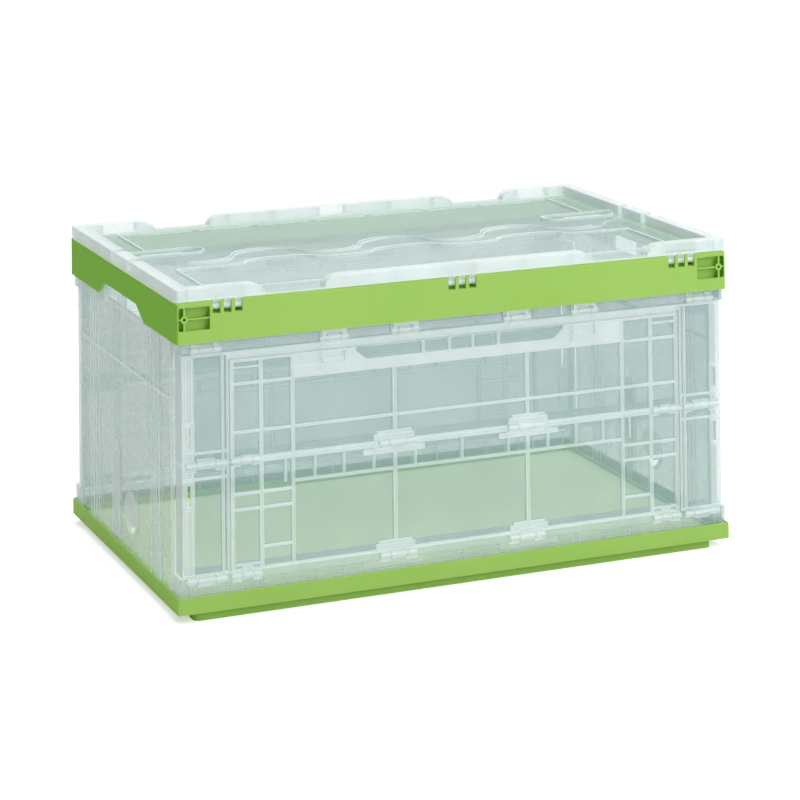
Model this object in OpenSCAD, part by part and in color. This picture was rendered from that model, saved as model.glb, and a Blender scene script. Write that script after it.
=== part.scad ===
// Collapsible storage crate: green base and rim, clear folding walls, two lid halves.
// Millimetres. Origin at the middle of the footprint, +Z up, front long side at -Y.

/* [Overall] */
// Outside length of the crate
crate_length = 530; // [500:5:560]
// Outside width of the crate
crate_width = 350; // [340:5:380]
// Thickness of the clear sheets
sheet = 1.8; // [1.4:0.1:2.2]

/* [Rim and base] */
// Height of the green rim skirt
rim_height = 34.5; // [32:0.5:36]
// Height of the base lip
lip_height = 14.2; // [12:0.2:15]
// Thickness of the base floor
floor_t = 2.5; // [2:0.5:3]

/* [Folding walls] */
// Distance between hinge axes of a wall link
link = 98; // [97:0.5:98.5]
// Depth of the corner return on the long walls
corner_return = 21; // [18:1:21]
// Diameter of the wall hinge pins
pin_d = 3; // [2.4:0.2:3.2]

/* [Lid] */
// Swing of the wavy seam between the lid halves
seam_swing = 20; // [8:1:22]
// Height of the lid ridges above the rim
lid_height = 11.9; // [10:0.1:12]

/* [Hidden] */
$fn = 24;
hx = crate_length / 2;
hy = crate_width / 2;
foot = 8;
zf = foot + floor_t;
lip_top = foot + lip_height;
zb = foot + 26;
zm = zb + link;
zt = zm + link;
rim_bot = zt + 7.3;
rim_top = rim_bot + rim_height;
zl = rim_top + 0.3;
ztop = zl + lid_height;
ya = hy - 4;
wx = hx - 5.5;
bore = pin_d + 0.4;
kr = 3;
dx = 216;
lax = ya + 0.2;
laz = rim_top - 4.3;
ex = hx - 4.4;
ez = rim_bot + 24.2;
ey = hy - corner_return - 4.5;
pz = zf + 1;
dtop = zt - 11;
win_z = rim_bot + 21;
post_x = hx - 7.2;
// spans of the pins and knuckles on the wall hinges, left half
pin_spans = [[-257, -220.5], [-216.5, -188.5], [-79.5, -44.5]];
frame_low = [[-256, -247], [-230, -221]];
frame_up = [[-246.5, -230.5]];
door_low = [[-216, -207], [-196.5, -189], [-79, -70], [-54, -45]];
door_up = [[-206.5, -197], [-69.5, -54.5]];
top_pins = [[-252, -224.5], [-134.5, -107.5], [-67.5, -40.5]];
top_frame = [[-244, -232], [-127, -115], [-60, -48]];
top_strip = [[-251.5, -244.5], [-231.5, -225], [-134, -127.5], [-114.5, -108],
    [-67, -60.5], [-47.5, -41]];
ladder = [-188, -166, -139, -112, -84, -45, 0, 45, 84, 112, 139, 166, 188];

GREEN = [0.45, 0.72, 0.18];
CLEAR = [0.80, 0.88, 0.88, 0.45];
FROST = [0.92, 0.94, 0.94, 0.8];

// ---------- small helpers ----------
// box from corner a to corner b
module bx(a, b) {
    translate([min(a[0], b[0]), min(a[1], b[1]), min(a[2], b[2])])
        cube([abs(b[0] - a[0]), abs(b[1] - a[1]), abs(b[2] - a[2])]);
}
// round bar along X from x0 to x1
module barx(x0, x1, y, z, d) {
    translate([x0, y, z]) rotate([0, 90, 0]) cylinder(d = d, h = x1 - x0);
}
// round bar along Y from y0 to y1
module bary(y0, y1, x, z, d) {
    translate([x, y0, z]) rotate([-90, 0, 0]) cylinder(d = d, h = y1 - y0);
}
// both ends, mirrored about x = 0
module ends() {
    children();
    mirror([1, 0, 0]) children();
}
// both long sides, mirrored about y = 0
module sides() {
    children();
    mirror([0, 1, 0]) children();
}
module rrect(x, y, r) {
    offset(r) square([2 * (x - r), 2 * (y - r)], center = true);
}
// wall box in hinge terms: x range, u inward from the axis plane, z range, front side
module wb(x0, x1, u0, u1, z0, z1) {
    bx([x0, -ya + u0, z0], [x1, -ya + u1, z1]);
}
// hinge knuckle on the front wall: web reaches from the axis to z1
module knuckle(x0, x1, z, z1) {
    barx(x0, x1, -ya, z, 2 * kr);
    wb(x0, x1, 0, kr, z, z1);
}
// room in the front wall for the other side's knuckle, x0 to x1, at the axis height z
module room(x0, x1, z) {
    wb(x0 - 0.5, x1 + 0.5, -4, kr + 0.5, z - kr - 0.5, z + kr + 0.5);
}
module bores(spans, z) {
    for (k = spans) ends() barx(k[0] - 0.3, k[1] + 0.3, -ya, z, bore);
}
module rooms(spans, z) {
    for (k = spans) ends() room(k[0], k[1], z);
}
module knuckles(spans, z, z1) {
    for (k = spans) ends() knuckle(k[0], k[1], z, z1);
}
module pins(spans, z) {
    for (k = spans) ends() barx(k[0], k[1], -ya, z, pin_d);
}

// ---------- base ----------
module base_tray() color(GREEN) {
    slot = ey + 0.8;
    difference() {
        union() {
            translate([0, 0, foot]) linear_extrude(floor_t) rrect(hx - 1, hy - 1, 3);
            translate([0, 0, foot]) linear_extrude(lip_height) difference() {
                rrect(hx, hy, 2.5);
                square([2 * (hx - 1.5), 2 * (hy - 1.8)], center = true);
            }
            // foot ring that drops inside the lid ridges of a crate below
            linear_extrude(foot + 0.5) difference() {
                rrect(hx - 16, hy - 6, 6);
                rrect(hx - 19, hy - 9, 4);
            }
            for (i = [-3:3]) bx([i * 70 - 1, -hy + 8, 3], [i * 70 + 1, hy - 8, foot + 0.5]);
            for (i = [-1:1]) bx([-hx + 18, i * 80 - 1, 3], [hx - 18, i * 80 + 1, foot + 0.5]);
            // rail that holds the clear kerb strips
            sides() bx([-wx + 4.8, -hy + 7.2, zf - 0.2], [wx - 4.8, -hy + 9, zf + 6]);
            // corner blocks
            ends() sides() {
                bx([-hx + 0.4, -hy + 0.4, foot], [-hx + 5.2, -slot + 0.1, lip_top - 1.2]);
                bx([-hx + 0.4, -hy + 0.4, foot], [-hx + 16, -hy + 4.2, zf + 5]);
            }
        }
        // slots that take the lower edges of the end panels
        ends() bx([-hx + 1.5, -slot, -1], [-wx - 0.2, slot, lip_top + 1]);
    }
}

// clear kerb strip fixed in the base, carries the lower hinge
module kerb() {
    difference() {
        union() {
            wb(-wx + 4, wx - 4, 0.6, 0.6 + sheet, zf + 0.3, zb - 3);
            wb(-wx + 4, wx - 4, 0.3, 1.4, zb - 5.2, zb + 3.2);
            wb(-wx + 4, wx - 4, 0.3, 1, lip_top - 1, lip_top + 0.8);
            for (x = ladder) wb(x - 1, x + 1, 0.3, 3, zf + 0.3, zb - 3);
            for (x = [-253, -236, -219, -203]) ends() wb(x - 0.8, x + 0.8, 0.3, 3, zf + 0.3, zb - 3);
            knuckles(frame_up, zb, zb - 5);
            knuckles(door_low, zb, zb - 5);
            // thicker foot behind each door clip
            ends() wb(-94, -36, 0.3, 3.2, zb - 9, zb - 4);
            // turn at the corners, outside the folding columns
            ends() {
                wb(-wx - 3.2, -wx + 5, 0.6, 2.2, lip_top - 1, zb - 4);
                wb(-wx - 3.2, -wx + 5, 0.3, 1.4, zb - 5, zb + 3.2);
                wb(-wx - 3.2, -wx - 0.9, 0.6, corner_return - 1, lip_top - 1, zb + 3.2);
            }
        }
        bores(pin_spans, zb);
        rooms(frame_low, zb);
        rooms(door_up, zb);
    }
}
module front_curb() color(FROST) kerb();
module rear_curb() color(FROST) mirror([0, 1, 0]) kerb();

module front_bottom_pins() color(FROST) pins(pin_spans, zb);
module rear_bottom_pins() color(FROST) mirror([0, 1, 0]) pins(pin_spans, zb);
module front_top_pins() color(FROST) pins(top_pins, zt);
module rear_top_pins() color(FROST) mirror([0, 1, 0]) pins(top_pins, zt);
module front_mid_pins() color(FROST) pins([pin_spans[0]], zm);
module rear_mid_pins() color(FROST) mirror([0, 1, 0]) pins(pin_spans, zm);
module front_door_pins() color(FROST) pins([pin_spans[1], pin_spans[2]], zm);

// clear strip in the rim that carries the upper hinge of a long wall
module hanger_strip() {
    difference() {
        union() {
            wb(-wx + 9, wx - 9, 0.3, 1.4, zt - 3.2, rim_bot + 9);
            wb(-wx + 9, wx - 9, 0.3, 2.4, rim_bot - 1, rim_bot + 9);
            knuckles(top_strip, zt, zt + 6);
            // turn at the corners, outside the folding columns
            ends() {
                wb(-wx - 3.2, -wx + 10, 0.6, 2.2, rim_bot - 1, rim_bot + 9);
                wb(-wx - 3.2, -wx + 9.5, 0.3, 1.4, zt - 3.2, rim_bot);
                wb(-wx - 3.2, -wx - 0.9, 0.6, corner_return - 1, zt - 3.2, rim_bot + 9);
            }
            // U-shaped hanger frames round the knuckles
            for (x = [-121, -54]) ends() {
                for (s = [-1, 1]) wb(x + s * 9.6 - 1.7, x + s * 9.6 + 1.7, -2.8, 1.4, zt, rim_bot - 0.3);
                wb(x - 9, x + 9, -2.8, 1.4, rim_bot - 2.6, rim_bot - 0.3);
            }
        }
        bores(top_pins, zt);
        rooms(top_frame, zt);
    }
}
module front_hanger_strip() color(FROST) hanger_strip();
module rear_hanger_strip() color(FROST) mirror([0, 1, 0]) hanger_strip();

// ---------- wall columns ----------
// corner column between heights z0 and z1, with its return round the corner
module column(z0, z1) {
    wb(-wx, -dx - 1.5, 1, 1 + sheet, z0, z1);
    wb(-wx, -wx + 2, 0.4, corner_return, z0, z1);
    wb(-wx, -wx + 3.6, 0.4, 5.4, z0, z1);
    wb(-wx, -wx + 10.6, 0.6, 3, z0, z1);
    wb(-wx + 9, -wx + 10.6, 0.4, 4.6, z0, z1);
    wb(-dx - 8, -dx - 5.6, 0.3, 5.4, z0, z1);
    wb(-dx - 3.6, -dx - 1.5, 0.3, 5.4, z0, z1);
    wb(-wx, -wx + 3.6, corner_return - 1.4, corner_return, z0, z1);
    for (z = [z0, z1 - 2]) wb(-wx, -dx - 1.5, 0.3, 5.4, z, z + 2);
}
// framed vertical slot window near the corner
module slot_frame(z) {
    wb(-wx + 0.2, -wx + 11, 0.2, 4.4, z - 12.5, z + 12.5);
}
module slot_hole(z) {
    wb(-wx + 4.6, -wx + 7.8, -1, 6, z - 9, z + 9);
}

module front_lower_body() {
    z0 = zb + 3.6;
    z1 = zm - 0.4;
    difference() {
        union() {
            ends() {
                column(z0, z1);
                slot_frame(zm - 25);
                wb(-wx, -dx - 1.5, 0.3, 4.4, z1 - 12, z1 - 10);
            }
            knuckles(frame_low, zm, z1 - 5);
            knuckles(frame_low, zb, z0 + 2);
            // door stops that tie the two columns together
            wb(-wx + 3, wx - 3, 5.7, 7.7, z0, z0 + 6);
            wb(-wx + 3, wx - 3, 5.7, 7.7, z1 - 8, z1);
            wb(-wx + 3, wx - 3, 5.7, 8.5, z0, z0 + 1.6);
            wb(-wx + 3, wx - 3, 5.7, 8.5, z1 - 1.6, z1);
            ends() wb(-dx - 3.6, -dx - 1.5, 4, 8.5, z0, z1);
            ends() wb(-wx, -wx + 3.6, 4, 8.5, z0, z0 + 7);
            ends() wb(-wx, -wx + 3.6, 4, 8.5, z1 - 8, z1);
        }
        bores([pin_spans[0]], zm);
        bores([pin_spans[0]], zb);
        rooms(frame_up, zm);
        ends() slot_hole(zm - 25);
    }
}
module front_upper_body() {
    z0 = zm + 0.4;
    z1 = zt - 3.6;
    difference() {
        union() {
            ends() {
                column(z0, z1);
                slot_frame(zm + 25);
                wb(-wx, -dx - 1.5, 0.3, 4.4, z0 + 9, z0 + 11);
            }
            knuckles(frame_up, zm, z0 + 5);
            knuckles(top_frame, zt, z1 - 2);
            wb(-wx + 3, wx - 3, 5.7, 7.7, z0, z0 + 8);
            wb(-wx + 3, wx - 3, 5.7, 8.5, z0, z0 + 1.6);
            wb(-dx - 2, dx + 2, 0.5, 8.5, z1 - 5.4, z1);
            wb(-wx + 3, wx - 3, 5.7, 7.7, z1 - 12, z1);
            ends() wb(-dx - 3.6, -dx - 1.5, 4, 8.5, z0, z1);
            ends() wb(-wx, -wx + 3.6, 4, 8.5, z0, z0 + 8);
            ends() wb(-wx, -wx + 3.6, 4, 8.5, z1 - 12, z1);
        }
        bores([pin_spans[0]], zm);
        bores(top_pins, zt);
        rooms(frame_low, zm);
        ends() slot_hole(zm + 25);
        // pockets for the latch tongues
        ends() wb(-132, -110, 2, 4.9, z1 - 6, z1 - 1.8);
        // cored out behind its front face
        for (x = [-180:36:180]) if (abs(abs(x) - 121) > 26) wb(x - 14, x + 14, 2, 9, z1 - 4, z1 - 1.4);
    }
}
module front_lower_frame() color(CLEAR) front_lower_body();
module front_upper_frame() color(CLEAR) front_upper_body();

// ---------- lattice doors ----------
// vertical rib of a door
module vr(x, z0, z1, w = 2.6) wb(x - w / 2, x + w / 2, 0.3, 5.4, z0, z1);
// level rib of a door
module hr(x0, x1, z, w = 2.2) wb(x0, x1, 0.3, 5.4, z - w / 2, z + w / 2);

module door_lower_body() {
    z0 = zb + 3.7;
    z1 = zm - 0.5;
    rung = zm - 22.5;
    difference() {
        union() {
            wb(-dx, dx, 1.2, 1.2 + sheet, z0, z1);
            hr(-dx, dx, z0 + 1.1);
            hr(-dx, dx, z1 - 1.1);
            hr(-159, 159, rung);
            ends() {
                vr(-dx + 1.6, z0, z1, 3.2);
                vr(-188, z0, z1, 3.2);
                vr(-159, z0, z1);
                vr(-64, z0, z1, 3.2);
                hr(-dx, -188, zb + 9);
                hr(-188, -159, zb + 22.5);
                hr(-dx, -159, zb + 56);
                hr(-dx, -159, rung - 6);
                // clip plates and blocks, middle and bottom
                wb(-94, -36, 0.3, 4, z1 - 8, z1 - 3.4);
                wb(-84, -45.5, 0.3, 4.5, z1 - 4, z1);
                wb(-83, -46, 0.3, 4.5, z0, z0 + 7);
                wb(-80, -49, 0.2, 4.5, z0 + 6, z0 + 9.5);
            }
            knuckles(door_low, zm, z1 - 4);
            knuckles(door_up, zb, z0 + 4);
            for (x = ladder) vr(x, rung, z1, 2);
        }
        bores([pin_spans[1], pin_spans[2]], zm);
        bores([pin_spans[1], pin_spans[2]], zb);
        rooms(door_up, zm);
    }
}
module door_upper_body() {
    z0 = zm + 0.5;
    z1 = dtop;
    band = zt - 32;
    difference() {
        union() {
            wb(-dx, dx, 1.2, 1.2 + sheet, z0, z1);
            hr(-dx, dx, z0 + 1.1);
            hr(-dx, -100, z1 - 1.1);
            hr(100, dx, z1 - 1.1);
            wb(-92, 92, 1.2, 3.6, z1 - 1.4, z1);
            hr(-dx, dx, zm + 24.5);
            ends() {
                vr(-dx + 1.6, z0, z1, 3.2);
                vr(-188, z0, z1, 3.2);
                vr(-159, z0, z1, 3.2);
                vr(-64, z0, band + 1, 3.2);
                hr(-dx, -159, band);
                hr(-dx, -188, z1 - 7, 1.4);
                vr(-36.4, band + 7, z1, 2.4);
                vr(-11.2, band + 7, z1, 2.4);
                // clip block with a narrower cap
                wb(-84, -45.5, 0.3, 4.5, z0, z0 + 8);
                wb(-81, -48.5, 0.2, 4.5, z0 + 7, z0 + 10.6);
                // latch guide
                wb(-135, -107, 0.3, 5.5, z1 - 19, z1);
            }
            knuckles(door_up, zm, z0 + 4);
            // frosted band, stepped down in the middle under the finger pull
            translate([0, -ya + 0.3, 0]) rotate([90, 0, 0]) mirror([0, 0, 1]) linear_extrude(3.4)
                polygon([[-159, band], [159, band], [159, z1], [104, z1], [90, z1 - 11.5],
                    [-90, z1 - 11.5], [-104, z1], [-159, z1]]);
        }
        bores([pin_spans[1], pin_spans[2]], zm);
        rooms(door_low, zm);
        ends() {
            // grooves in the clip
            wb(-79, -50, -1, 0.8, zm + 7.4, zm + 8.4);
            wb(-132.2, -109.8, 2, 4.9, z1 - 16.6, z1 + 1);
            wb(-131.6, -110.4, -1, 3, z1 - 10.8, z1 - 1.4);
        }
    }
}
module front_door_lower() color(CLEAR) door_lower_body();
module front_door_upper() color(CLEAR) door_upper_body();

// latch slider: tongue behind the band, thumb bar in the band's slot
module latch(s) {
    x = s * 121;
    wb(x - 10.8, x + 10.8, 2.3, 4.6, dtop - 16, dtop - 0.6);
    wb(x - 10, x + 10, 0.5, 3, dtop - 10.4, dtop - 6.8);
}
module door_latch_left() color(FROST) latch(-1);
module door_latch_right() color(FROST) latch(1);

// rear wall: same outline, one rigid panel per half
module rear_wall_lower() color(CLEAR) mirror([0, 1, 0]) {
    front_lower_body();
    door_lower_body();
    for (z = [zb + 4, zm - 8]) wb(-dx - 2, dx + 2, 2.6, 6.4, z, z + 5);
    ends() wb(-dx - 3, -dx + 3, 2, 6.4, zb + 6, zm - 4);
}
module rear_wall_upper() color(CLEAR) mirror([0, 1, 0]) {
    front_upper_body();
    door_upper_body();
    for (z = [zm + 3, dtop - 6]) wb(-dx - 2, dx + 2, 2.6, 6.4, z, z + 5);
    wb(-100, 100, 2.6, 5.8, dtop - 4, zt - 8);
    ends() wb(-dx - 3, -dx + 3, 2, 6.4, zm + 4, dtop);
}

// ---------- rim ----------
module end_notch(x) {
    translate([x, 0, 0]) rotate([90, 0, 90]) linear_extrude(8, center = true)
        polygon([[-76, rim_bot - 1], [-75, rim_bot], [-50, rim_bot + 12.5], [55, rim_bot + 12.5],
            [76, rim_bot], [77, rim_bot - 1]]);
}
module corner_window() {
    // recess with rounded corners, seen from the front
    translate([-hx + 16, -hy, win_z]) rotate([90, 0, 0])
        linear_extrude(11.5, center = true) offset(1.5) square([25, 17], center = true);
}
module corner_cross() {
    bx([-hx + 6.4, -hy + 0.4, win_z - 10.5], [-hx + 8, -hy + 6, win_z + 10.5]);
    bx([-hx + 2, -hy + 0.8, win_z - 0.6], [-hx + 30, -hy + 6, win_z + 0.6]);
    translate([-post_x, -hy + 6, win_z]) rotate([90, 0, 0]) cylinder(d = 6.4, h = 5.7);
}
lug_x = [-229, -219, -209, -10, 0, 10, 209, 219, 229];

module rim_side() {
    // skirt, flange and inner wall of one long side
    bx([-hx + 2, -hy, rim_bot], [hx - 2, -hy + 2, rim_top]);
    bx([-hx + 2, -hy, rim_top - 2.5], [hx - 2, -hy + 15, rim_top]);
    bx([-hx + 6, -hy + 14.5, rim_bot + 17.7], [hx - 6, -hy + 16.3, rim_top]);
    for (x = [-180:40:180]) bx([x - 0.8, -hy + 1, rim_bot + 18.7], [x + 0.8, -hy + 15, rim_top - 1]);
    // solid lugs round the lid hinge
    for (x = [-219, 0, 219]) bx([x - 20, -hy + 0.6, rim_top - 10.8], [x + 20, -hy + 8, rim_top]);
    // corner boxes
    ends() bx([-hx + 0.6, -hy, win_z - 11.6], [-hx + 32.5, -hy + 7, win_z + 12]);
    // seats that grip the clear hanger strip
    for (x = [-215:43:215]) bx([x - 3, -hy + 1, rim_bot + 10], [x + 3, -hy + 6.4, rim_bot + 14]);
}
module rim_frame() color(GREEN) {
    difference() {
        union() {
            difference() {
                union() {
                    sides() rim_side();
                    // end skirts, flanges and inner walls
                    ends() {
                        bx([-hx, -hy + 2, rim_bot], [-hx + 1.6, hy - 2, rim_top]);
                        bx([-hx, -hy + 2, rim_top - 2.5], [-hx + 15, hy - 2, rim_top]);
                        bx([-hx + 13, -hy + 6, rim_top - 6.8], [-hx + 14.8, hy - 6, rim_top]);
                    }
                    // rounded corner posts of the skirt
                    ends() sides() difference() {
                        translate([-hx + 2.5, -hy + 2.5, rim_bot]) cylinder(r = 2.5, h = rim_height, $fn = 32);
                        bx([-hx + 2.2, -hy + 2.2, rim_bot - 1], [-hx + 8, -hy + 8, rim_bot + 9]);
                    }
                }
                // trim the sharp box corners back to the round
                ends() sides() difference() {
                    bx([-hx - 1, -hy - 1, rim_bot - 1], [-hx + 2.5, -hy + 2.5, rim_top + 1]);
                    translate([-hx + 2.5, -hy + 2.5, rim_bot - 2]) cylinder(r = 2.5, h = 40, $fn = 32);
                }
                ends() sides() corner_window();
                ends() end_notch(-hx);
            }
            ends() sides() corner_cross();
            // lugs of the end panel hinge
            ends() for (y = [-120, -100, -40, -20, 20, 40, 100, 120])
                bx([-hx + 0.5, y - 3, ez - 2.7], [-hx + 7.1, y + 3, rim_top - 1]);
        }
        // lid hinge notches, open to the front and top
        sides() for (x = lug_x) bx([x - 3.4, -hy - 1, rim_top - 10.4], [x + 3.4, -hy + 8.4, rim_top + 1]);
        sides() barx(-hx + 30.2, hx - 30.2, -lax, laz, 2.7);
        // bores for the end hinge pins
        ends() bary(-126, 126, -ex, ez, 2.9);
        // post holes in the corner windows
        ends() sides() translate([-post_x, -hy + 5.5, win_z]) rotate([90, 0, 0]) cylinder(d = 2.6, h = 6);
        // catch slots where the lid halves meet
        ends() for (y = [-27, 27]) bx([-hx + 4, y - 4, rim_top - 3], [-hx + 5.6, y + 4, rim_top + 1]);
    }
}

// ---------- end panels ----------
module end_body() {
    x0 = -hx + 1.8;
    x1 = -hx + 4.8;
    z1 = ez - 3.6;
    grip = rim_bot - 4.6;
    finger = pz + 44;
    difference() {
        union() {
            bx([x0 + 0.8, -ey, pz], [x0 + 2.1, ey, z1]);
            for (y = [-ey, ey - 2]) bx([x0, y, pz], [x1, y + 2, z1]);
            for (y = [-113, -104, 102.6, 111.6]) bx([x0, y, pz], [x1, y + 1.4, z1]);
            for (z = [pz, z1 - 2]) bx([x0, -ey, z], [x1, ey, z + 2]);
            bx([x0, -ey, rim_bot - 53], [x1, ey, rim_bot - 50.6]);
            // handle frame
            translate([x0, 0, 0]) rotate([90, 0, 90]) linear_extrude(3)
                polygon([[-70, z1], [-70, grip + 10], [-60, grip], [60, grip], [70, grip + 10], [70, z1]]);
            // latch frame and finger rim
            bx([x0, 16, pz + 14], [x1, 40, pz + 100]);
            for (y = [-96, -86, 84, 94]) bx([x0 + 0.3, y, pz], [x1 - 0.4, y + 1.2, z1]);
            translate([x0, -22, finger]) rotate([90, 0, 90]) cylinder(r = 20, h = 2.6, $fn = 48);
            for (y = [-110, -30, 30, 110]) {
                bary(y - 6.6, y + 6.6, -ex, ez, 5.2);
                bx([x0, y - 6.6, z1 - 1], [x1 - 0.2, y + 6.6, ez]);
            }
        }
        bary(-126, 126, -ex, ez, 2.9);
        // notches that swing past the rim's hinge lugs
        for (y = [-120, -100, -40, -20, 20, 40, 100, 120])
            bx([x0 - 1, y - 3.4, ez - 4.6], [x1 + 1, y + 3.4, ez + 4]);
        // two finger slots of the handle with a bar between
        for (s = [-1, 1]) bx([x0 - 1, s * 4, grip + 4], [x1 + 1, s * 56, grip + 21]);
        // window and side grooves of the sliding latch
        bx([x0 - 1, 22, pz + 22], [x1 + 1, 34, pz + 92]);
        bx([x0 + 0.8, 20.4, pz + 20.4], [x1 - 0.8, 35.6, pz + 93.6]);
        bx([x0 + 0.7, 23.6, pz - 1], [x1 - 0.7, 32.4, pz + 23]);
        // crescent finger hole
        difference() {
            translate([x0 - 1, -22, finger]) rotate([90, 0, 90]) cylinder(r = 17, h = 6, $fn = 48);
            translate([x0 - 2, -22, finger + 9]) rotate([90, 0, 90]) cylinder(r = 20, h = 8, $fn = 48);
        }
    }
}
module end_slide() {
    x0 = -hx + 1.8;
    x1 = -hx + 4.8;
    bx([x0 + 0.2, 22.3, pz + 40], [x1 - 0.2, 33.7, pz + 91]);
    bx([x0 + 1.1, 21, pz + 40], [x1 - 1.1, 35, pz + 91]);
    bx([x0 + 1, 24, pz + 1.5], [x1 - 1, 32, pz + 42]);
}
module end_panel_left() color(CLEAR) end_body();
module end_panel_right() color(CLEAR) mirror([1, 0, 0]) end_body();
module end_latch_left() color(FROST) end_slide();
module end_latch_right() color(FROST) mirror([1, 0, 0]) end_slide();
module end_pin_left() color(FROST) bary(-125, 125, -ex, ez, 2.5);
module end_pin_right() color(FROST) mirror([1, 0, 0]) end_pin_left();

// ---------- lid ----------
// seam line between the halves: rounded square wave running lengthwise
function sq(s) = (s > 0 ? 1 : -1) * pow(abs(s), 0.55);
function seam(x) = 0.5 - seam_swing * sq(sin((x + 220.5) * 360 / 126));
// lead-in of the seam at the left end, between two segments of the end ridge
seam_end = [[-266, 26], [-253, 26], [-243, 15], [-232, 10], [-223, 0], [-215, -11]];
seam_pts = concat(seam_end, [for (x = [-205:5:205]) [x, seam(x)]],
    [for (i = [len(seam_end) - 1:-1:0]) [-seam_end[i][0], seam_end[i][1]]]);

module ridge_profile(x0, x1, h) {
    // rounded ramp at both ends of a raised tongue, drawn in X and Z
    polygon(concat([[x0, 0]], [for (a = [180:-15:90]) [x0 + 16 + 16 * cos(a), h * sin(a)]],
        [for (a = [90:-15:0]) [x1 - 16 + 16 * cos(a), h * sin(a)]], [[x1, 0]]));
}
module tongue(x0, x1) {
    h = ztop - zl - 2.2;
    intersection() {
        cube([2 * hx - 0.4, 2 * hy, 2 * ztop], center = true);
        translate([0, -hy + 0.4, zl + 2.2]) rotate([90, 0, 0]) mirror([0, 0, 1]) tongue_shell(x0, x1, h);
    }
}
module tongue_shell(x0, x1, h) {
    linear_extrude(13) difference() {
        ridge_profile(x0, x1, h);
        translate([0, -1.4]) ridge_profile(x0 + 1.4, x1 - 1.4, h);
    }
    linear_extrude(1.2) ridge_profile(x0, x1, h);
    translate([0, 0, 11.8]) linear_extrude(1.2) ridge_profile(x0, x1, h);
}
module gusset(x) {
    bx([x - 0.7, -hy + 1, zl + 2], [x + 0.7, -hy + 13, ztop - 0.8]);
}
module lid_plate(s) {
    // s = 1 front half, s = -1 rear half (drawn in place, not mirrored)
    translate([0, 0, zl]) linear_extrude(2.2) intersection() {
        rrect(hx - 0.2, hy - 0.2, 3);
        polygon(s > 0 ? concat(seam_pts, [[266, -180], [-266, -180]])
            : concat([for (p = seam_pts) [p[0], p[1] + 0.8]], [[266, 180], [-266, 180]]));
    }
}
// raised wavy rib parallel to the seam at distance d
module wave_rib(d, w, h, k) {
    translate([0, 0, zl + 2]) linear_extrude(h) polygon(concat(
        [for (x = [-205:5:205]) [x, seam(x) * k + d]],
        [for (x = [205:-5:-205]) [x, seam(x) * k + d + w]]));
}
module lid_edges() {
    // parts of the front half shared by both halves
    tongue(-130, 130);
    for (x = [-109, -62, 62, 109]) gusset(x);
    bx([-14, -hy + 1, zl + 2], [14, -hy + 13, ztop - 0.6]);
    ends() {
        tongue(-hx - 15, -184);
        bx([-236, -hy + 1, zl + 2], [-203, -hy + 13, ztop - 0.6]);
    }
    // low frame round the recessed panel
    bx([-227, -hy + 28, zl + 2], [227, -hy + 30, zl + 4.2]);
    ends() bx([-227, -hy + 28, zl + 2], [-225, -60, zl + 4.2]);
    // hinge lugs that drop into the rim notches
    for (x = lug_x) {
        barx(x - 3, x + 3, -lax, laz, 6);
        bx([x - 3, -lax - 3, laz], [x + 3, -lax + 3, zl + 2.4]);
    }
}
module end_ridge(y0, y1) {
    bx([-hx, y0, zl], [-hx + 1.6, y1, ztop]);
    bx([-hx, y0, ztop - 1.7], [-hx + 12, y1, ztop]);
    bx([-hx + 10.4, y0, zl + 1], [-hx + 12, y1, ztop]);
    bx([-hx, y0, zl], [-hx + 12, y0 + 1.6, ztop]);
    bx([-hx, y1 - 1.6, zl], [-hx + 12, y1, ztop]);
}
module hinge_relief() {
    // underside step that lets the lid swing past the rim edge
    bx([-hx - 1, -hy - 1, zl - 1], [hx + 1, -hy + 10, zl + 1.2]);
    ends() translate([-hx, -hy, 0]) difference() {
        translate([-1, -1, zl - 2]) cube([3.5, 3.5, 20]);
        translate([2.5, 2.5, zl - 3]) cylinder(r = 2.5, h = 22, $fn = 32);
    }
}
module lug_keep() {
    for (x = lug_x) bx([x - 3, -lax - 3, zl - 1], [x + 3, -lax + 3, zl + 2]);
}
module lid_front() color(CLEAR) difference() {
    union() {
        difference() {
            union() {
                lid_plate(1);
                lid_edges();
                ends() end_ridge(-hy, -31);
                ends() end_ridge(-21, 21);
                wave_rib(-38.5, 2.4, 2.4, 0.5);
                wave_rib(-4.4, 1.6, 1.4, 1);
                ends() bx([-227, -48, zl + 2], [-205, -45.6, zl + 4.4]);
                ends() bx([-227, -62, zl + 2], [-225, -45.6, zl + 4.2]);
                for (x = [-180:60:180]) bx([x - 26, -hy + 34, zl + 2], [x + 26, -hy + 35, zl + 2.6]);
            }
            hinge_relief();
        }
        lug_keep();
    }
    barx(-hx, hx, -lax, laz, 2.9);
}
module lid_rear() color(CLEAR) difference() {
    union() {
        difference() {
            union() {
                lid_plate(-1);
                mirror([0, 1, 0]) lid_edges();
                ends() end_ridge(31, hy);
                wave_rib(3.8, 1.6, 1.4, 1);
                // raised finger loop at each end
                ends() translate([-211, 38, zl + 2]) linear_extrude(2.6) difference() {
                    hull() for (x = [-26, 24]) translate([x, 0]) circle(13.5, $fn = 32);
                    hull() for (x = [-26, 24]) translate([x, 0]) circle(11.7, $fn = 32);
                }
                ends() bx([-253, 49.6, zl + 2], [-236, 51.5, zl + 4.6]);
                ends() bx([-236, 33, zl + 2], [-196, 36, zl + 3.6]);
                for (x = [-180:60:180]) bx([x - 26, hy - 35, zl + 2], [x + 26, hy - 34, zl + 2.6]);
            }
            mirror([0, 1, 0]) hinge_relief();
        }
        mirror([0, 1, 0]) lug_keep();
    }
    barx(-hx, hx, lax, laz, 2.9);
}
module lid_pins() for (x = [-219, 0, 219]) barx(x - 15.5, x + 15.5, -lax, laz, 2.5);
module lid_pins_front() color(FROST) lid_pins();
module lid_pins_rear() color(FROST) mirror([0, 1, 0]) lid_pins();

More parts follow.
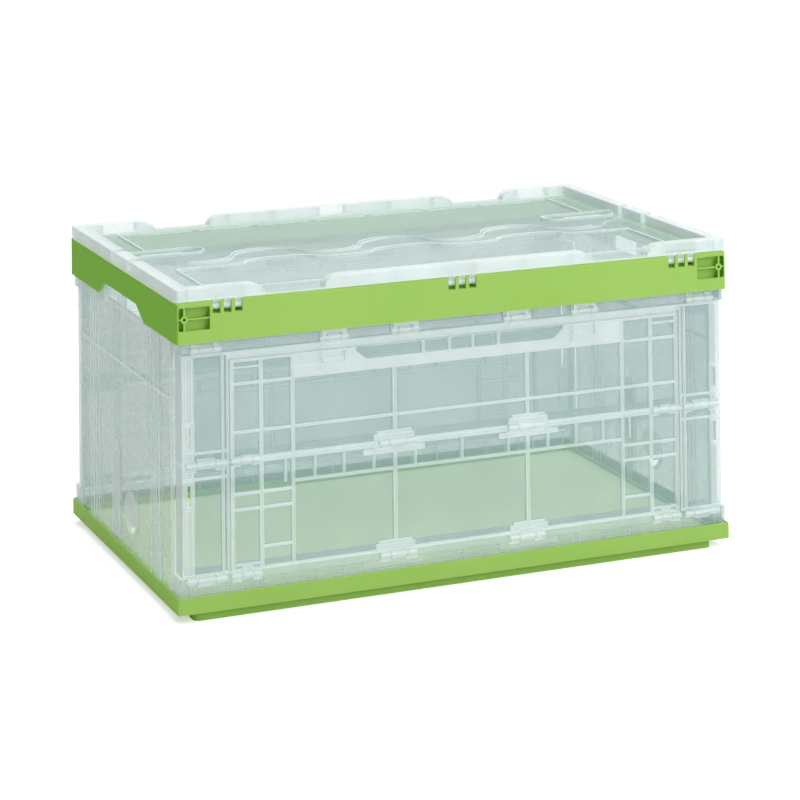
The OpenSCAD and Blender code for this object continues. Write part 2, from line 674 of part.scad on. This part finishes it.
base_tray();
front_curb();
rear_curb();
front_bottom_pins();
rear_bottom_pins();
front_lower_frame();
front_mid_pins();
front_door_lower();
front_door_pins();
front_door_upper();
door_latch_left();
door_latch_right();
front_upper_frame();
rim_frame();
front_top_pins();
rear_top_pins();
rear_wall_upper();
rear_mid_pins();
rear_wall_lower();
front_hanger_strip();
rear_hanger_strip();
end_pin_left();
end_pin_right();
end_panel_left();
end_panel_right();
end_latch_left();
end_latch_right();
lid_pins_front();
lid_pins_rear();
lid_front();
lid_rear();
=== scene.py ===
"""Collapsible storage crate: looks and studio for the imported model."""
import math

import bpy
from mathutils import Matrix, Vector

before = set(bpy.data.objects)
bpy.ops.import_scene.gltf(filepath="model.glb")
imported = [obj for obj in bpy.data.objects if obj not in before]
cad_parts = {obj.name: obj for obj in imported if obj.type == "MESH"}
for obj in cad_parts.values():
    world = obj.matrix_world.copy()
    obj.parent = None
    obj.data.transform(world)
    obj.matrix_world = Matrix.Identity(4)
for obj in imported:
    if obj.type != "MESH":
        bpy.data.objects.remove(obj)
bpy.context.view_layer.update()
MM = 0.001
MOULDED_RADIUS = 0.4 * MM

GREEN_NODES = ("base_tray", "rim_frame")
CLEAR_NODES = (
    "front_lower_frame", "front_upper_frame", "front_door_lower", "front_door_upper",
    "rear_wall_lower", "rear_wall_upper", "end_panel_left", "end_panel_right",
    "lid_front", "lid_rear", "front_curb", "rear_curb",
    "front_hanger_strip", "rear_hanger_strip",
)


# ---------- node helpers ----------
class Graph:
    """Small wrapper that keeps node building short."""

    def __init__(self, name):
        self.material = bpy.data.materials.new(name)
        self.material.use_nodes = True
        self.tree = self.material.node_tree
        self.shader = self.tree.nodes["Principled BSDF"]

    def add(self, kind, **inputs):
        node = self.tree.nodes.new(kind)
        for key, value in inputs.items():
            self.set(node.inputs[key.replace("_", " ")], value)
        return node

    def set(self, socket, value):
        if isinstance(value, bpy.types.NodeSocket):
            self.tree.links.new(value, socket)
        else:
            socket.default_value = value

    def principled(self, **inputs):
        for key, value in inputs.items():
            self.set(self.shader.inputs[key.replace("_", " ")], value)

    def coords(self):
        return self.tree.nodes.new("ShaderNodeTexCoord").outputs["Object"]

    def noise(self, scale, detail=3.0, stretch=None):
        place = self.coords()
        if stretch:
            place = self.add("ShaderNodeMapping", Vector=place, Scale=stretch).outputs[0]
        return self.add("ShaderNodeTexNoise", Vector=place, Scale=scale, Detail=detail).outputs["Fac"]

    def remap(self, value, low, high, source=(0.0, 1.0)):
        node = self.tree.nodes.new("ShaderNodeMapRange")
        self.set(node.inputs["Value"], value)
        self.set(node.inputs["From Min"], source[0])
        self.set(node.inputs["From Max"], source[1])
        self.set(node.inputs["To Min"], low)
        self.set(node.inputs["To Max"], high)
        return node.outputs["Result"]

    def mix(self, factor, a, b):
        node = self.tree.nodes.new("ShaderNodeMix")
        node.data_type = "RGBA"
        self.set(node.inputs["Factor"], factor)
        self.set(node.inputs["A"], a)
        self.set(node.inputs["B"], b)
        return node.outputs["Result"]

    def math(self, operation, a, b):
        node = self.tree.nodes.new("ShaderNodeMath")
        node.operation = operation
        node.use_clamp = True
        self.set(node.inputs[0], a)
        self.set(node.inputs[1], b)
        return node.outputs[0]

    def edge(self, radius):
        """Grey mask of the outside corners, from how far a rounded normal turns."""
        rounded = self.add("ShaderNodeBevel", Radius=radius).outputs["Normal"]
        flat = self.tree.nodes.new("ShaderNodeNewGeometry").outputs["Normal"]
        node = self.tree.nodes.new("ShaderNodeVectorMath")
        node.operation = "DISTANCE"
        self.set(node.inputs[0], rounded)
        self.set(node.inputs[1], flat)
        return node.outputs["Value"]

    def bump(self, height, strength, distance):
        node = self.add("ShaderNodeBump", Height=height, Strength=strength, Distance=distance)
        self.set(self.shader.inputs["Normal"], node.outputs["Normal"])


def colour(r, g, b):
    return (r, g, b, 1.0)


def facing(graph):
    return graph.add("ShaderNodeLayerWeight", Blend=0.45).outputs["Facing"]


# ---------- materials ----------
def green_plastic(name, low, high, painted_end_tone):
    """Opaque moulded green: satin grain, flow clouding, paler worn edges, and painted light and shade on the
    end faces.
    """
    g = Graph(name)
    cloud = g.noise(9.0, 4.0)
    grain = g.noise(2600.0, 2.0)
    body = g.mix(g.remap(cloud, 0.0, 1.0, (0.3, 0.7)), colour(*low), colour(*high))
    # painted light and shade: faces turned along X take their own tone, standing for how the lamps fall on
    # the end faces
    normal = g.tree.nodes.new("ShaderNodeNewGeometry").outputs["Normal"]
    along = g.add("ShaderNodeSeparateXYZ", Vector=normal).outputs["X"]
    body = g.mix(g.math("MULTIPLY", along, along), body, colour(*painted_end_tone))
    wear = g.remap(g.edge(0.0008), 0.0, 0.55, (0.04, 0.35))
    scuffed = g.mix(g.math("MULTIPLY", wear, g.remap(g.noise(60.0, 3.0), 0.3, 1.0, (0.35, 0.65))),
                    body, colour(0.46, 0.72, 0.26))
    g.principled(Base_Color=scuffed, Roughness=g.remap(grain, 0.42, 0.55), Specular_IOR_Level=0.08)
    g.bump(grain, 0.12, 0.00004)
    return g.material


def clear_plastic(name, body, alpha_face, alpha_edge, rough):
    """Milky translucent plastic: denser at a glancing angle and along its edges."""
    g = Graph(name)
    cloud = g.noise(14.0, 4.0)
    grain = g.noise(90.0, 2.0)
    streak = g.noise(30.0, 2.0, (1.0, 1.0, 0.15))
    solid = g.remap(facing(g), alpha_face, alpha_edge, (0.15, 1.0))
    patch = g.remap(cloud, -0.02, 0.03, (0.35, 0.65))
    rim_light = g.remap(g.edge(0.0006), 0.0, 0.30, (0.05, 0.4))
    alpha = g.math("ADD", g.math("ADD", solid, patch), rim_light)
    # light passes on through the plastic into the crate, so its shadows stay faint
    shadow = g.tree.nodes.new("ShaderNodeLightPath").outputs["Is Shadow Ray"]
    alpha = g.math("MULTIPLY", alpha, g.remap(shadow, 1.0, 0.06))
    pale = colour(*[min(1.0, c * 1.08) for c in body])
    tint = g.mix(g.remap(streak, 0.0, 1.0, (0.3, 0.7)), colour(*body), pale)
    edged = g.mix(rim_light, tint, colour(0.95, 0.98, 0.98))
    g.principled(Base_Color=edged, Roughness=g.remap(grain, rough, rough + 0.06), Alpha=alpha)
    g.principled(Specular_IOR_Level=0.45)
    g.bump(grain, 0.03, 0.00002)
    return g.material


def floor_material():
    """White studio sweep; a little glow keeps it paper white away from the shadow."""
    g = Graph("studio_floor")
    speck = g.noise(40.0, 2.0)
    tone = g.mix(speck, colour(0.9, 0.9, 0.9), colour(0.92, 0.92, 0.92))
    g.principled(Base_Color=tone, Roughness=0.9, Specular_IOR_Level=0.1)
    seen = g.tree.nodes.new("ShaderNodeLightPath").outputs["Is Camera Ray"]
    g.principled(Emission_Color=colour(1.0, 1.0, 1.0), Emission_Strength=g.remap(seen, 0.0, 0.5))
    return g.material


# The end tone is painted light and shade: a deeper green for the shaded end faces of the rim, a paler green
# for the lit end faces of the tray.
GREEN = green_plastic("green_moulded_plastic", (0.31, 0.53, 0.10), (0.345, 0.565, 0.13), (0.20, 0.52, 0.015))
TRAY = green_plastic("green_tray_plastic", (0.295, 0.51, 0.10), (0.325, 0.54, 0.12), (0.36, 0.65, 0.10))
# painted light: the inner floor of the tray is a pale green standing in for the light that comes in through
# the clear walls and lids
PAINTED_LIGHT_FLOOR = green_plastic("green_tray_floor_painted_light", (0.84, 0.95, 0.58), (0.88, 0.98, 0.62), (0.84, 0.95, 0.58))
SHEET = clear_plastic("clear_sheet_plastic", (0.29, 0.42, 0.42), 0.40, 0.62, 0.22)
END_SHEET = clear_plastic("clear_end_plastic", (0.42, 0.55, 0.53), 0.28, 0.50, 0.24)
LID_SHEET = clear_plastic("clear_lid_plastic", (0.40, 0.52, 0.51), 0.36, 0.60, 0.20)
RIB = clear_plastic("clear_rib_plastic", (0.64, 0.73, 0.73), 0.47, 0.80, 0.30)
LID_RIB = clear_plastic("clear_lid_rib_plastic", (0.74, 0.81, 0.81), 0.42, 0.76, 0.28)
FROST = clear_plastic("frosted_plastic", (0.68, 0.75, 0.75), 0.50, 0.82, 0.35)


# ---------- dressing the carried-over nodes ----------
# Sheet faces of each clear node: the axis they face and the levels they lie at, in millimetres.
WALL_AXIS = -171.0
WALL_LEVELS = tuple(WALL_AXIS + inward for inward in (1.0, 1.2, 2.8, 3.0))
LEVEL_TOLERANCE = 0.06
TRAY_FLOOR_LEVEL = 10.5
TRAY_FLOOR_TOLERANCE = 0.1
SQUARE_ON = 0.99
SHEET_PLANES = {
    "front_curb": ("y", (-170.7, -170.4, -168.8, -168.6)),
    "rear_curb": ("y", (170.7, 170.4, 168.8, 168.6)),
    "front_hanger": ("y", (-170.7, -170.4, -169.6, -168.8)),
    "rear_hanger": ("y", (170.7, 170.4, 169.6, 168.8)),
    "front": ("y", WALL_LEVELS),
    "rear": ("y", tuple(-level for level in WALL_LEVELS)),
    "end_panel_left": ("x", (-262.4, -261.1)),
    "end_panel_right": ("x", (262.4, 261.1)),
    "lid": ("z", (272.1, 274.3)),
}


# The first three letters of a node that has its own sheet and rib plastic.
SHEET_PLASTICS = {"lid": (LID_SHEET, LID_RIB), "end": (END_SHEET, RIB)}


def sheet_plane(node):
    for prefix, plane in SHEET_PLANES.items():
        if node.startswith(prefix):
            return plane
    return None


def dress_clear(node, obj):
    """Faces on the sheet planes get the thin sheet, ribs and edges the paler rib plastic."""
    axis, levels = sheet_plane(node)
    index = "xyz".index(axis)
    mesh = obj.data
    mesh.materials.clear()
    sheet, rib = SHEET_PLASTICS.get(node[:3], (SHEET, RIB))
    mesh.materials.append(sheet)
    mesh.materials.append(rib)
    for polygon in mesh.polygons:
        flat = abs(polygon.normal[index]) > SQUARE_ON
        level = polygon.center[index] / MM
        on_sheet = flat and min(abs(level - value) for value in levels) < LEVEL_TOLERANCE
        polygon.material_index = 0 if on_sheet else 1


def dress_plain(obj, material):
    obj.data.materials.clear()
    obj.data.materials.append(material)
    for polygon in obj.data.polygons:
        polygon.material_index = 0


def soften(obj, width):
    """Small moulded radius on hard edges."""
    bevel = obj.modifiers.new("moulded_radius", "BEVEL")
    bevel.width = width
    bevel.segments = 2
    bevel.limit_method = "ANGLE"
    bevel.angle_limit = math.radians(50)
    bevel.harden_normals = True


def dress_tray(obj):
    """The floor inside gets a paler green than the outside of the tray: painted light for the light that
    reaches it through the clear plastic.
    """
    obj.data.materials.clear()
    obj.data.materials.append(TRAY)
    obj.data.materials.append(PAINTED_LIGHT_FLOOR)
    for polygon in obj.data.polygons:
        at_floor = abs(polygon.center.z / MM - TRAY_FLOOR_LEVEL) < TRAY_FLOOR_TOLERANCE
        inside = polygon.normal.z > SQUARE_ON and at_floor
        polygon.material_index = 1 if inside else 0


for node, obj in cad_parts.items():
    if node == "base_tray":
        dress_tray(obj)
    elif node == "rim_frame":
        dress_plain(obj, GREEN)
    elif node in CLEAR_NODES:
        dress_clear(node, obj)
    else:
        dress_plain(obj, FROST)
    if node in GREEN_NODES:
        soften(obj, MOULDED_RADIUS)


# ---------- studio ----------
# World light by direction along X: dim on the left and bright on the right.
WORLD_RAMP = {"From Min": -1.0, "From Max": 0.5, "To Min": 0.12, "To Max": 0.75}
GROUND_SIZE = 40.0

CAMERA_PLACE = (-0.97067, -2.52131, 0.77245)
CAMERA_AZIMUTH, CAMERA_TILT, CAMERA_ROLL = (math.radians(angle) for angle in (-23.54, -1.746, -0.673))
CAMERA_LENS = 127.2
CAMERA_SENSOR = 36.0
CAMERA_SHIFT = {"shift_x": -0.1346, "shift_y": -0.9636}
SAME_HEIGHT = 0.0005


def area_light(name, place, target, size, power):
    data = bpy.data.lights.new(name, "AREA")
    data.shape = "RECTANGLE"
    data.size, data.size_y = size
    data.energy = power
    lamp = bpy.data.objects.new(name, data)
    bpy.context.scene.collection.objects.link(lamp)
    lamp.location = place
    lamp.rotation_euler = (Vector(target) - Vector(place)).to_track_quat("-Z", "Y").to_euler()


def studio_world():
    """White surroundings whose gradient lets the near end fall off in tone."""
    world = bpy.data.worlds.new("studio")
    bpy.context.scene.world = world
    world.use_nodes = True
    tree = world.node_tree
    place = tree.nodes.new("ShaderNodeTexCoord")
    split = tree.nodes.new("ShaderNodeSeparateXYZ")
    ramp = tree.nodes.new("ShaderNodeMapRange")
    for name, value in WORLD_RAMP.items():
        ramp.inputs[name].default_value = value
    tree.links.new(place.outputs["Generated"], split.inputs[0])
    tree.links.new(split.outputs["X"], ramp.inputs["Value"])
    tree.nodes["Background"].inputs["Color"].default_value = colour(1.0, 1.0, 1.0)
    tree.links.new(ramp.outputs["Result"], tree.nodes["Background"].inputs["Strength"])


def studio():
    studio_world()
    area_light("key", (1.6, -2.6, 2.2), (0, 0, 0.15), (2.2, 2.2), 60)
    area_light("top", (0.0, 0.3, 3.0), (0, 0, 0), (3.0, 3.0), 50)
    bpy.ops.mesh.primitive_plane_add(size=GROUND_SIZE)
    ground = bpy.context.object
    ground.name = "studio_floor"
    ground.data.materials.append(floor_material())


def camera_turn():
    """Rotation of a camera that looks along the azimuth and tilt, rolled about its own axis."""
    level = Vector((-math.sin(CAMERA_AZIMUTH), math.cos(CAMERA_AZIMUTH), 0.0))
    forward = level * math.cos(CAMERA_TILT) - Vector((0.0, 0.0, math.sin(CAMERA_TILT)))
    right = Vector((math.cos(CAMERA_AZIMUTH), math.sin(CAMERA_AZIMUTH), 0.0))
    up = right.cross(forward)
    side = right * math.cos(CAMERA_ROLL) + up * math.sin(CAMERA_ROLL)
    above = up * math.cos(CAMERA_ROLL) - right * math.sin(CAMERA_ROLL)
    return Matrix((side, above, -forward)).transposed().to_4x4()


def camera():
    """Long lens with a nearly level, shifted view of the near left corner."""
    data = bpy.data.cameras.new("camera")
    data.sensor_width = CAMERA_SENSOR
    data.lens = CAMERA_LENS
    data.clip_end = 100.0
    view = bpy.data.objects.new("camera", data)
    bpy.context.scene.collection.objects.link(view)
    view.matrix_world = Matrix.Translation(CAMERA_PLACE) @ camera_turn()
    for path, amount in CAMERA_SHIFT.items():
        lens_shift(view, path, amount)
    bpy.context.scene.camera = view


def lens_shift(view, path, amount):
    """The shift belongs to the main view: it is zero once the camera has been moved elsewhere."""
    driver = view.data.driver_add(path).driver
    driver.type = "SCRIPTED"
    height = driver.variables.new()
    height.name = "height"
    height.type = "TRANSFORMS"
    height.targets[0].id = view
    height.targets[0].transform_type = "LOC_Z"
    driver.expression = f"{amount} if abs(height - {CAMERA_PLACE[2]}) < {SAME_HEIGHT} else 0"


studio()
camera()
scene = bpy.context.scene
scene.view_settings.view_transform = "Standard"
scene.cycles.transparent_max_bounces = 64
scene.cycles.max_bounces = 12
